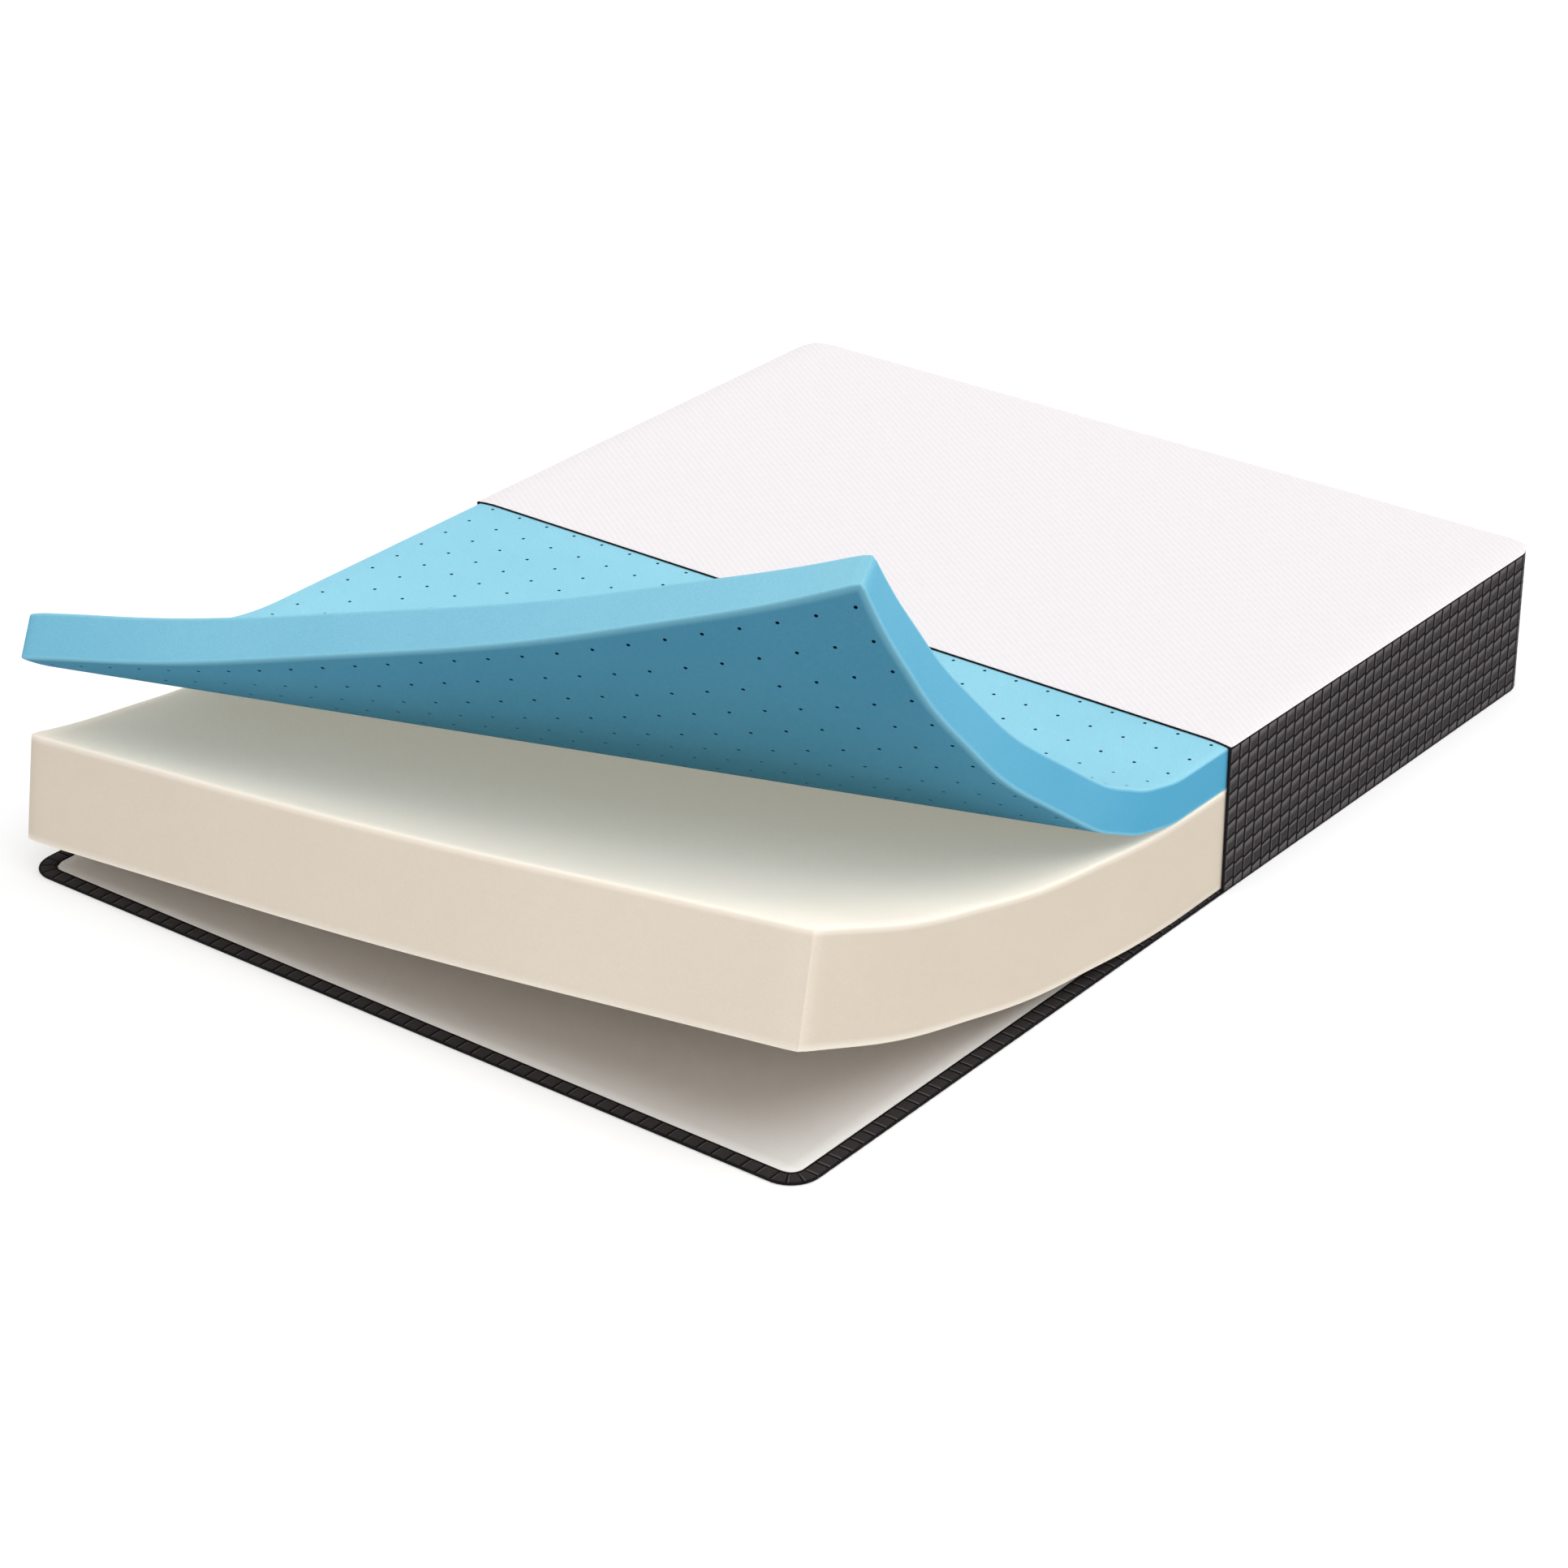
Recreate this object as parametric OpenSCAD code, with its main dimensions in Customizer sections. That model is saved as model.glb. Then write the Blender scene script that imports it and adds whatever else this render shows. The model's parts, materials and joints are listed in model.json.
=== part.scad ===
// Two-layer foam mattress, shown with the foot half of its cover cut away.
// The origin is the centre of the underside. +Z is up, the foot end is -Y and the head end is +Y.
// Both foam layers are bent up at the foot: each is one sheet, cut here into panels along its fold lines.

/* [Mattress] */
// Width of the mattress
mattress_w = 1524; // [1270:1:1930]
// Length of the mattress
mattress_l = 2032; // [1690:1:2440]
// Corner radius seen from above
corner_r = 50; // [30:1:90]
// Length of foam left uncovered at the foot
reveal = 1081; // [1000:1:1250]

/* [Foam] */
// Thickness of the base foam
base_t = 175; // [120:1:220]
// Thickness of the gel foam
gel_t = 75; // [50:1:100]
// Room between the foam and the side border
side_room = 5; // [4.5:0.5:8]
// Room between the foam and the border at the head and foot
end_room = 9.5; // [9:0.5:16]
// Corner radius of the foam at the foot
foam_foot_r = 12; // [4:1:30]

/* [Cover] */
// Thickness of the knitted top panel
top_panel_t = 2; // [1.5:0.5:4]
// Thickness of the tiled side border
border_t = 3.5; // [2:0.5:4]
// Thickness of the inner sock round the foam
sock_t = 0.6; // [0.4:0.1:1]
// Width of the border strip turned under the foot
rim_w = 26; // [16:1:40]
// Thickness of the turned strip and of the bottom panel
rim_t = 4.4; // [3:0.1:6]
// Width of the bindings along cut edges and inside the rim
binding_w = 3; // [2:0.5:5]
// How far the border laps over the rim inside the bottom piping
seam_lap = 0.5; // [0.3:0.1:1.5]
// Height of the piping at the top seam
piping_h = 3.6; // [2:0.1:5]

/* [Folds] */
// Gel fold lines on the right side, measured from the foot end
gel_fold_right = [938, 848, 736, 464, 249, 86];
// Gel fold lines on the left side, measured from the foot end
gel_fold_left = [512, 274, 49, -117, -397, -774];
// Base fold lines on the right side, measured from the foot end
base_fold_right = [892, 576, 262];
// Base fold lines on the left side, measured from the foot end
base_fold_left = [360, 72, -215];
// Lift of each base fold as shown
base_lift = 7.5; // [0:0.25:10]
// Curl of each of the last three gel folds as shown
gel_curl = 13.25; // [0:0.25:18]
// Extra lift that each base fold allows
extra_lift = 3; // [0:0.5:5]
// Extra curl that each of the last three gel folds allows
extra_curl = 8; // [0:0.5:11]
// Gap left along each fold
fold_gap = 0.5; // [0.4:0.1:2]
// Gap that keeps the loose panels off the layer below
layer_gap = 0.3; // [0.2:0.1:1]

/* [Zipper] */
// Length of the zipper across the head end
zip_l = 1180; // [600:10:1180]
// Height of the zipper above the floor
zip_z = 46; // [34:1:90]
// Height of the window in the border that shows the zipper
zip_window = 18; // [16:0.5:24]
// Width of the zipper's coil pair
coil_w = 6; // [5:0.5:8]
// Thickness of the coils
coil_t = 1.6; // [1:0.1:1.8]
// Thickness of the zipper tapes
tape_t = 0.8; // [0.4:0.1:0.9]
// Length of the pull tab
pull_l = 30; // [20:1:45]
// Width of the pull tab
pull_w = 7; // [5:0.5:9]

/* [Label] */
// Width of the blank care label
label_w = 60; // [40:1:90]
// Length of the blank care label
label_l = 90; // [60:1:110]
// Distance of the label from the rounded corner
label_inset = 70; // [20:5:300]
// Height of the label above the zipper's window
label_rise = 8; // [2:1:20]

/* [Hidden] */
$fn = 64;

// Plan of the mattress
half_w = mattress_w / 2;
half_l = mattress_l / 2;
cut_y = reveal - half_l;
foam_half_w = half_w - side_room;
foam_half_l = half_l - end_room;
foam_head_r = corner_r - end_room / 2;

// Levels, from the floor up
base_z = rim_t + sock_t;
gel_z = base_z + base_t;
foam_top = gel_z + gel_t;
panel_z = foam_top + sock_t;
border_top = panel_z - piping_h;
bottom_piping_w = border_t - seam_lap;

// The first gel folds turn with the base folds, and this much further; the rest curl by themselves
lift_ratio = 1.75;
lift_folds = 3;
gel_angles = [for (i = [1:len(gel_fold_right)]) i <= lift_folds ? lift_ratio * base_lift : gel_curl];
gel_angles_max = [for (i = [1:len(gel_fold_right)])
    i <= lift_folds ? lift_ratio * (base_lift + extra_lift) : gel_curl + extra_curl];
base_angles = [for (f = base_fold_right) base_lift];
base_angles_max = [for (f = base_fold_right) base_lift + extra_lift];

// Zipper: depths below the border's outer face, and places along the head end
head_y = half_l;
tape_y = head_y - 6.8;
coil_y = tape_y + tape_t;
coil_front = coil_y + coil_t;
coil_split = 1.6;
slider_gap = 0.3;
slider_l = 11;
slider_plate = 0.9;
slider_h = coil_w + 3.2;
slider_post = 0.9;
slider_front = coil_front + slider_gap + slider_plate;
stop_l = 3;
slider_x = -zip_l / 2 + 18;
pin_r = 0.5;
pin_l = 5.2;
eye_r = 0.8;
eye_wall = 0.7;
eye_h = 3;
pull_t = 1.2;
pin_y = head_y + slider_gap + pull_t / 2 + 0.1;
tape_hem = 4;
label_t = 0.4;

border_rgb = [0.27, 0.25, 0.26];
piping_rgb = [0.09, 0.09, 0.10];
knit_rgb = [0.95, 0.94, 0.94];
grey_rgb = [0.80, 0.81, 0.82];
gel_rgb = [0.45, 0.72, 0.84];
foam_rgb = [0.84, 0.80, 0.73];
metal_rgb = [0.62, 0.63, 0.65];

// A rectangle from y0 to y1 whose foot corners are rounded by r0 and whose head corners by r1
module plan(w, y0, y1, r0, r1) {
    translate([-w / 2, y0 + r0]) square([w, y1 - y0 - r0 - r1]);
    translate([-w / 2 + r0, y0]) square([w - 2 * r0, r0]);
    translate([-w / 2 + r1, y1 - r1]) square([w - 2 * r1, r1]);
    for (side = [-1, 1]) {
        translate([side * (w / 2 - r0), y0 + r0]) circle(r0);
        translate([side * (w / 2 - r1), y1 - r1]) circle(r1);
    }
}

// The outline of the whole mattress, drawn in by d all round
module mattress_plan(d) {
    plan(mattress_w - 2 * d, d - half_l, half_l - d, corner_r - d, corner_r - d);
}

// A level slab of height h at z, made from the plan given
module slab(z, h) {
    translate([0, 0, z]) linear_extrude(h) children();
}

// What is given, kept only on the covered side of the cut
module covered(y = cut_y) {
    intersection() {
        children();
        translate([-half_w - 1, y, -1]) cube([mattress_w + 2, half_l - y + 1, panel_z + 10]);
    }
}

// A band t thick round the mattress, d inside its outline, from z up by h
module band(d, t, z, h) {
    slab(z, h) difference() {
        mattress_plan(d);
        mattress_plan(d + t);
    }
}

// Places what is given along a fold line, with +X along the line and -Y towards the foot
module at_fold(right, left) {
    translate([half_w, right - half_l, 0]) rotate([0, 0, atan2(right - left, mattress_w)]) children();
}

// Cuts away one side of a fold: side 1 is the head side, -1 is the foot side
module fold_cut(right, left, side, z0, z1, angle) {
    zm = (z0 + z1) / 2;
    gap = fold_gap / 2;
    lean = (z1 - zm) * tan(angle / 2);
    far = 2 * (mattress_w + mattress_l);
    at_fold(right, left) translate([-far, 0, 0]) rotate([90, 0, 90]) linear_extrude(2 * far)
        polygon([[-side * gap, z0 - 1], [-side * gap, zm],
                 [-side * (gap + lean * (1 + 1 / (z1 - zm))), z1 + 1], [side * far, z1 + 1], [side * far, z0 - 1]]);
}

// Turns what is given up about a fold line at height z
module turned(right, left, z, angle) {
    translate([half_w, right - half_l, z])
        rotate(a = -angle, v = [mattress_w, right - left, 0])
            translate([-half_w, half_l - right, -z]) children();
}

// Turns what is given about the first n folds of a layer
module lifted(rights, lefts, z, angles, n) {
    if (n == 0) children();
    else lifted(rights, lefts, z, angles, n - 1)
        turned(rights[n - 1], lefts[n - 1], z, angles[n - 1]) children();
}

// Panel n of a foam layer that lies from z0 to z1, still flat; panel 0 is the one that stays down
module foam_panel(rights, lefts, z0, z1, angles, n) {
    raise = n > 0 ? layer_gap : 0;
    difference() {
        slab(z0 + raise, z1 - z0 - 2 * raise)
            plan(2 * foam_half_w, -foam_half_l, foam_half_l, foam_foot_r, foam_head_r);
        if (n > 0) fold_cut(rights[n - 1], lefts[n - 1], 1, z0, z1, angles[n - 1]);
        if (n < len(rights)) fold_cut(rights[n], lefts[n], -1, z0, z1, angles[n]);
    }
}

module gel_panel(n) {
    color(gel_rgb)
        lifted(gel_fold_right, gel_fold_left, gel_z + gel_t / 2, gel_angles, n)
            foam_panel(gel_fold_right, gel_fold_left, gel_z, foam_top, gel_angles_max, n);
}

module base_panel(n) {
    color(foam_rgb)
        lifted(base_fold_right, base_fold_left, base_z + base_t / 2, base_angles, n)
            foam_panel(base_fold_right, base_fold_left, base_z, gel_z, base_angles_max, n);
}

module bottom_panel() {
    color(grey_rgb) slab(0, rim_t) mattress_plan(rim_w + binding_w);
}

module bottom_rim() {
    color(border_rgb) band(bottom_piping_w, rim_w - bottom_piping_w, 0, rim_t);
}

module bottom_piping() {
    color(piping_rgb) band(0, bottom_piping_w, 0, rim_t);
}

module rim_inner_binding() {
    color(piping_rgb) band(rim_w, binding_w, 0, rim_t);
}

// The window in the head of the border that the zipper closes
module zipper_window() {
    translate([-zip_l / 2, half_l - border_t - 1, zip_z - zip_window / 2])
        cube([zip_l, border_t + 2, zip_window]);
}

module side_border() {
    color(border_rgb) difference() {
        covered(cut_y + binding_w) band(0, border_t, rim_t, border_top - rim_t);
        zipper_window();
    }
}

module border_edge_binding(side) {
    color(piping_rgb)
        translate([side > 0 ? half_w - border_t : -half_w, cut_y, rim_t])
            cube([border_t, binding_w, border_top - rim_t]);
}

module top_piping() {
    color(piping_rgb) covered() band(0, border_t, border_top, piping_h);
}

module top_panel() {
    color(knit_rgb) covered(cut_y + binding_w) slab(panel_z, top_panel_t) mattress_plan(0);
}

module panel_edge_binding() {
    color(piping_rgb)
        translate([-half_w, cut_y, panel_z]) cube([mattress_w, binding_w, top_panel_t]);
}

// The thin sock lines the cover: over, round and under the foam
module inner_sock() {
    color(knit_rgb) covered(cut_y + binding_w) difference() {
        slab(base_z - sock_t, panel_z - base_z + sock_t)
            plan(2 * (foam_half_w + sock_t), 0, foam_half_l + sock_t, 0.1, foam_head_r + sock_t);
        slab(base_z, foam_top - base_z)
            plan(2 * foam_half_w, -foam_half_l, foam_half_l, foam_foot_r, foam_head_r);
    }
}

// One zipper tape with the hem that is sewn to the back of the border: side 1 is the upper one
module zipper_tape(side) {
    depth = half_l - border_t - tape_y;
    color(piping_rgb) translate([0, 0, zip_z]) mirror([0, 0, side > 0 ? 0 : 1]) {
        translate([-zip_l / 2, tape_y, coil_split / 2])
            cube([zip_l, tape_t, zip_window / 2 + tape_hem - coil_split / 2]);
        translate([-zip_l / 2, tape_y, zip_window / 2]) cube([zip_l, depth, tape_hem]);
    }
}

module zipper_coil(side) {
    h = (coil_w - coil_split) / 2;
    color(piping_rgb)
        translate([-zip_l / 2 + stop_l, coil_y, side > 0 ? zip_z + coil_split / 2 : zip_z - coil_split / 2 - h])
            cube([zip_l - 2 * stop_l, coil_t, h]);
}

module zipper_end_stops() {
    color(metal_rgb)
        for (x = [-zip_l / 2, zip_l / 2 - stop_l])
            translate([x, coil_y, zip_z - coil_w / 2]) cube([stop_l, coil_t, coil_w]);
}

// The slider runs on both coils; its post passes between them
module zipper_slider() {
    back_y = tape_y - slider_gap - slider_plate;
    flange_y = coil_y + slider_gap;
    color(metal_rgb) translate([slider_x, 0, zip_z]) {
        translate([0, slider_front - slider_plate, -slider_h / 2]) cube([slider_l, slider_plate, slider_h]);
        translate([0, back_y, -slider_h / 2]) cube([slider_l, slider_plate, slider_h]);
        translate([0, back_y, -slider_post / 2]) cube([2, slider_front - back_y, slider_post]);
        for (side = [-1, 1]) {
            translate([0, flange_y, side * (slider_h - slider_plate) / 2 - slider_plate / 2])
                cube([slider_l, slider_front - flange_y, slider_plate]);
            translate([slider_l / 2 - 1, slider_front - slider_plate / 2, side * (pin_l - 1) / 2 - 0.5])
                cube([2, pin_y - slider_front + slider_plate / 2, 1]);
        }
        translate([slider_l / 2, pin_y, -pin_l / 2]) cylinder(h = pin_l, r = pin_r);
    }
}

// The pull tab's eye turns on the slider's pin
module zipper_pull() {
    px = slider_x + slider_l / 2;
    color(metal_rgb) translate([px, pin_y, zip_z]) difference() {
        union() {
            translate([0, 0, -eye_h / 2]) cylinder(h = eye_h, r = eye_r + eye_wall);
            translate([eye_r + eye_wall / 2, -pull_t / 2, -eye_h / 2]) cube([5, pull_t, eye_h]);
            translate([5, pull_t / 2, 0]) rotate([90, 0, 0]) linear_extrude(pull_t) difference() {
                union() {
                    translate([0, -pull_w / 2]) square([pull_l - 5 - pull_w / 2, pull_w]);
                    translate([pull_l - 5 - pull_w / 2, 0]) circle(pull_w / 2);
                }
                translate([pull_l - 5 - pull_w / 2, 0]) circle(pull_w / 4);
            }
        }
        translate([0, 0, -eye_h]) cylinder(h = 2 * eye_h, r = eye_r);
    }
}

// A blank label sewn to the border above the zipper
module care_label() {
    color(knit_rgb)
        translate([half_w - corner_r - label_inset - label_w, half_l, zip_z + zip_window / 2 + label_rise])
            cube([label_w, label_t, label_l]);
}

bottom_panel();
bottom_rim();
bottom_piping();
rim_inner_binding();
side_border();
top_piping();
top_panel();
border_edge_binding(1);  // border_edge_binding_right
border_edge_binding(-1);  // border_edge_binding_left
panel_edge_binding();
inner_sock();
base_panel(0);  // base_layer
base_panel(1);  // base_flap_1
base_panel(2);  // base_flap_2
base_panel(3);  // base_flap_3
gel_panel(0);  // gel_layer
gel_panel(1);  // gel_flap_1
gel_panel(2);  // gel_flap_2
gel_panel(3);  // gel_flap_3
gel_panel(4);  // gel_flap_4
gel_panel(5);  // gel_flap_5
gel_panel(6);  // gel_flap_6
zipper_tape(1);  // zipper_tape_upper
zipper_tape(-1);  // zipper_tape_lower
zipper_coil(1);  // zipper_coil_upper
zipper_coil(-1);  // zipper_coil_lower
zipper_end_stops();
zipper_slider();
zipper_pull();
care_label();
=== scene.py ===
import json
import math

import bmesh
import bpy
import numpy as np
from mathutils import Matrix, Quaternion, Vector


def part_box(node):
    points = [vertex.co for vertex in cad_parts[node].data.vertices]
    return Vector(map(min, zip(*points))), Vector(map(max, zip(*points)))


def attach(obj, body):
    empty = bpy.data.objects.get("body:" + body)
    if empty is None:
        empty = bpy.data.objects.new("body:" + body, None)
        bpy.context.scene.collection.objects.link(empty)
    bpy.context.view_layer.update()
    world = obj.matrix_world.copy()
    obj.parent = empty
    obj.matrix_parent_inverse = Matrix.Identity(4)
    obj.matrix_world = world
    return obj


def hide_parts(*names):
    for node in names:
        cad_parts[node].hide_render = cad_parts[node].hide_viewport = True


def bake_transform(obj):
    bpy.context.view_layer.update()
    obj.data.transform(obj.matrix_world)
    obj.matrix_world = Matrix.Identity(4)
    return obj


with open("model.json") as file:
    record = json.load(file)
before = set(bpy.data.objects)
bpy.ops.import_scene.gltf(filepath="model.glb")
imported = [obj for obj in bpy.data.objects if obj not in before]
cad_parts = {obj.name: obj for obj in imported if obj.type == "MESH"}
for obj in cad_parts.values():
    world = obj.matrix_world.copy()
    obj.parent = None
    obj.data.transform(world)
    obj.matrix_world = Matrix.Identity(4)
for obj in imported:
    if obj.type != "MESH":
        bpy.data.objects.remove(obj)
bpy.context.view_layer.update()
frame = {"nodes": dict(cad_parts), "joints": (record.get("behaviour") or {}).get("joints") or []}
JOINTS = {j["name"]: j for j in frame["joints"]}
MM = 0.001


# ---------------------------------------------------------------- sizes from the CAD

BORDER_LO, BORDER_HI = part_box("side_border")
RIM_LO, RIM_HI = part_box("bottom_piping")
PANEL_LO, PANEL_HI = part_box("top_panel")
GEL_LO, GEL_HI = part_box("gel_layer")
BASE_LO, BASE_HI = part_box("base_layer")
HALF_W, HALF_L = RIM_HI.x, RIM_HI.y
CORNER_R = 50 * MM
CUT_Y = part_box("panel_edge_binding")[0].y
BINDING = PANEL_LO.y - CUT_Y
FOAM_W, FOAM_L = GEL_HI.x, GEL_HI.y


# ---------------------------------------------------------------- materials

def srgb(r, g, b):
    """A colour given as 0-255 screen values, as linear RGBA."""
    def lin(v):
        v /= 255
        return v / 12.92 if v <= 0.04045 else ((v + 0.055) / 1.055) ** 2.4
    return (lin(r), lin(g), lin(b), 1.0)


class Finish:
    """A Principled material with small helpers for its node tree."""

    def __init__(self, name, roughness=0.9, specular=0.15, sheen=0.0, metallic=0.0):
        self.mat = bpy.data.materials.new(name)
        self.mat.use_nodes = True
        self.tree = self.mat.node_tree
        self.bsdf = self.tree.nodes["Principled BSDF"]
        self.bsdf.inputs["Roughness"].default_value = roughness
        self.bsdf.inputs["Specular IOR Level"].default_value = specular
        self.bsdf.inputs["Sheen Weight"].default_value = sheen
        self.bsdf.inputs["Metallic"].default_value = metallic

    def node(self, kind, out, inputs=(), **settings):
        n = self.tree.nodes.new(kind)
        for key, value in settings.items():
            setattr(n, key, value)
        for key, value in dict(inputs).items():
            if isinstance(value, bpy.types.NodeSocket):
                self.tree.links.new(value, n.inputs[key])
            else:
                n.inputs[key].default_value = value
        return n.outputs[out]

    def attribute(self, name, out="Fac"):
        return self.node("ShaderNodeAttribute", out, attribute_name=name)

    def place(self, name=None):
        """Where the pattern is read: the named flat coordinates, or the object's own."""
        if name:
            return self.attribute(name, "Vector")
        return self.node("ShaderNodeTexCoord", "Object")

    def noise(self, at, scale, detail=2.0, roughness=0.5):
        return self.node("ShaderNodeTexNoise", "Fac",
                         {"Vector": at, "Scale": scale, "Detail": detail, "Roughness": roughness})

    def cells(self, at, scale):
        return self.node("ShaderNodeTexVoronoi", "Distance", {"Vector": at, "Scale": scale})

    def math(self, operation, a, b=0.0):
        return self.node("ShaderNodeMath", 0, {0: a, 1: b}, operation=operation)

    def scaled(self, value, amount):
        return self.math("MULTIPLY", value, amount)

    def wave(self, at, direction, pitch, power=1.0):
        """A wave from 0 to 1 along a direction, with that pitch."""
        d = Vector(direction).normalized() * (2 * math.pi / pitch)
        phase = self.node("ShaderNodeVectorMath", "Value", {0: at, 1: tuple(d)}, operation="DOT_PRODUCT")
        w = self.math("MULTIPLY_ADD", self.math("SINE", phase), 0.5)
        w.node.inputs[2].default_value = 0.5
        return self.math("POWER", w, power) if power != 1 else w

    def mix(self, factor, a, b, blend="MIX"):
        n = self.tree.nodes.new("ShaderNodeMix")
        n.data_type, n.blend_type = "RGBA", blend
        for socket, value in ((n.inputs[0], factor), (n.inputs[6], a), (n.inputs[7], b)):
            if isinstance(value, bpy.types.NodeSocket):
                self.tree.links.new(value, socket)
            else:
                socket.default_value = value
        return n.outputs[2]

    def ramp(self, value, low, high):
        """The value stretched so that low gives 0 and high gives 1."""
        return self.node("ShaderNodeMapRange", "Result",
                         {"Value": value, "From Min": low, "From Max": high})

    def colour(self, value):
        if isinstance(value, bpy.types.NodeSocket):
            self.tree.links.new(value, self.bsdf.inputs["Base Color"])
        else:
            self.bsdf.inputs["Base Color"].default_value = value

    def bump(self, *heights):
        """Bumps laid one on the other: (height, depth in metres)."""
        normal = None
        for height, depth in heights:
            inputs = {"Height": height, "Distance": depth, "Strength": 1.0}
            if normal is not None:
                inputs["Normal"] = normal
            normal = self.node("ShaderNodeBump", "Normal", inputs)
        self.tree.links.new(normal, self.bsdf.inputs["Normal"])


def foam_finish(name, top, side_shade, under, edge, grain, highlight_amount, painted_emission=None, pins=None):
    """Cut foam: its top skin has the foam's own colour; painted shade darkens its cut sides and its
    underside, and a painted highlight lightens its softly rounded edges.
    The emission colour given is painted light given off by the open flat faces, standing for light they seem
    to give back, and pins is the painted shade inside the holes."""
    f = Finish(name, roughness=0.95, specular=0.05)
    at = f.place("flat")
    broad = f.noise(at, 4.0, 3.0)
    fine = f.noise(at, 420.0, 4.0, 0.7)
    pores = f.cells(at, 620.0)
    # Painted shade: the cut sides and the underside take darker colours than the top.
    body = f.mix(f.attribute("side_shade"), top, side_shade)
    body = f.mix(f.attribute("under"), body, under)
    body = f.mix(f.scaled(f.ramp(broad, 0.35, 0.7), 0.08), body, side_shade, "MULTIPLY")
    body = f.mix(f.scaled(f.ramp(fine, 0.62, 0.35), grain), body, side_shade, "MULTIPLY")
    # Painted highlight: a lighter colour along the rounded edges.
    body = f.mix(f.scaled(f.attribute("edge"), highlight_amount), body, edge)
    f.colour(body)
    # Painted light: emission on the open flat faces, in place of light given back by the foam.
    if painted_emission:
        flat_part = f.math("MULTIPLY", f.math("SUBTRACT", 1.0, f.attribute("side_shade")),
                           f.math("SUBTRACT", 1.0, f.attribute("under")))
        lit = f.mix(flat_part, (0, 0, 0, 1), (*painted_emission, 1))
        f.tree.links.new(lit, f.bsdf.inputs["Emission Color"])
        f.bsdf.inputs["Emission Strength"].default_value = 1.0
    # Painted shade inside the pinholes: their sides take a dark blue.
    if pins:
        f.colour(f.mix(f.attribute("pin"), body, pins))
    f.bump((fine, 0.5 * MM), (pores, 0.35 * MM), (broad, 0.6 * MM))
    return f.mat


# The top colours are the foams' own; the side, underside and hole colours are painted shade, the edge
# colours a painted highlight, the emission painted light.
GEL = foam_finish("gel_foam", top=srgb(159, 221, 239), side_shade=srgb(92, 174, 208), under=srgb(76, 139, 166),
                  edge=srgb(160, 222, 240), grain=0.16, highlight_amount=0.35, pins=srgb(18, 52, 78))
BASE = foam_finish("base_foam", top=srgb(240, 233, 223), side_shade=srgb(220, 208, 192), under=srgb(221, 210, 194),
                   edge=srgb(243, 235, 222), grain=0.12, highlight_amount=0.75, painted_emission=(0.30, 0.26, 0.20))


RIB_TURN = math.radians(56.3)
RIB_PITCH = 10.14 * MM


def knit_finish():
    """A knit with faint slanting ribs, a finer rib between them, and rows of small loops."""
    f = Finish("knit_fabric", roughness=0.95, specular=0.05)
    at = f.place()
    wobble = f.noise(at, 60.0, 2.0)
    across = (math.cos(RIB_TURN), math.sin(RIB_TURN), 0)
    along = (math.cos(RIB_TURN - math.pi / 2), math.sin(RIB_TURN - math.pi / 2), 0)
    ribs = f.wave(at, across, RIB_PITCH, 0.8)
    cross = f.wave(at, along, 3.4 * MM)
    small = f.wave(at, (1, 1, 0), 5.1 * MM)
    loops = f.math("MULTIPLY", cross, small)
    half = f.wave(at, across, RIB_PITCH / 2)
    body = f.mix(f.scaled(f.ramp(ribs, 0.5, 0.0), 0.10), srgb(245, 240, 242), srgb(198, 193, 198))
    body = f.mix(f.scaled(half, 0.09), body, srgb(200, 196, 200))
    body = f.mix(f.scaled(loops, 0.08), body, srgb(255, 255, 255))
    f.colour(body)
    f.bump((ribs, 0.3 * MM), (half, 0.15 * MM), (loops, 0.25 * MM), (wobble, 0.2 * MM))
    return f.mat


def border_finish():
    """Charcoal tiles with fine ribs, with painted shade in the gaps and a painted highlight on the edges
    that catch the light.
    """
    f = Finish("border_fabric", roughness=0.85, specular=0.12, sheen=0.04)
    at = f.place("flat")
    ribs = f.wave(at, (1, 0, 0), 2.65 * MM)
    fuzz = f.noise(at, 900.0, 3.0, 0.7)
    tile = f.mix(f.scaled(ribs, 0.45), srgb(53, 49, 50), srgb(37, 34, 35))
    tile = f.mix(f.scaled(fuzz, 0.3), tile, srgb(55, 51, 52))
    # Painted highlight on the tile edges that catch the light.
    tile = f.mix(f.scaled(f.attribute("lit"), 0.8), tile, srgb(108, 103, 105))
    # Painted shade in the gaps between the tiles.
    tile = f.mix(f.ramp(f.attribute("gap"), 0.12, 0.6), tile, srgb(14, 12, 13))
    f.colour(tile)
    f.bump((ribs, 0.5 * MM), (fuzz, 0.3 * MM))
    return f.mat


def woven_finish(name, light, dark, pitch, depth=0.25, edge=None):
    """A plain weave of that thread pitch; depth is its relief in mm."""
    f = Finish(name, roughness=0.85, specular=0.1, sheen=0.03)
    at = f.place()
    warp = f.wave(at, (1, 0.02, 0.9), pitch)
    weft = f.wave(at, (0.02, 1, -0.9), pitch)
    weave = f.math("MULTIPLY", warp, weft)
    fuzz = f.noise(at, 700.0, 3.0, 0.7)
    body = f.mix(weave, dark, light)
    body = f.mix(f.scaled(fuzz, 0.25), body, dark)
    # A lighter colour on the rounded edge: a painted highlight.
    if edge:
        body = f.mix(f.attribute("edge"), body, edge)
    f.colour(body)
    f.bump((weave, depth * MM), (fuzz, 0.15 * MM))
    return f.mat


def smooth_finish(name, colour, roughness, metallic):
    """Nylon or metal, slightly scuffed."""
    f = Finish(name, roughness=roughness, specular=0.5, metallic=metallic)
    at = f.place()
    scuffs = f.noise(at, 300.0, 3.0)
    f.colour(f.mix(f.scaled(scuffs, 0.2), colour, tuple(0.6 * c for c in colour[:3]) + (1.0,)))
    f.bump((scuffs, 0.05 * MM))
    return f.mat


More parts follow.
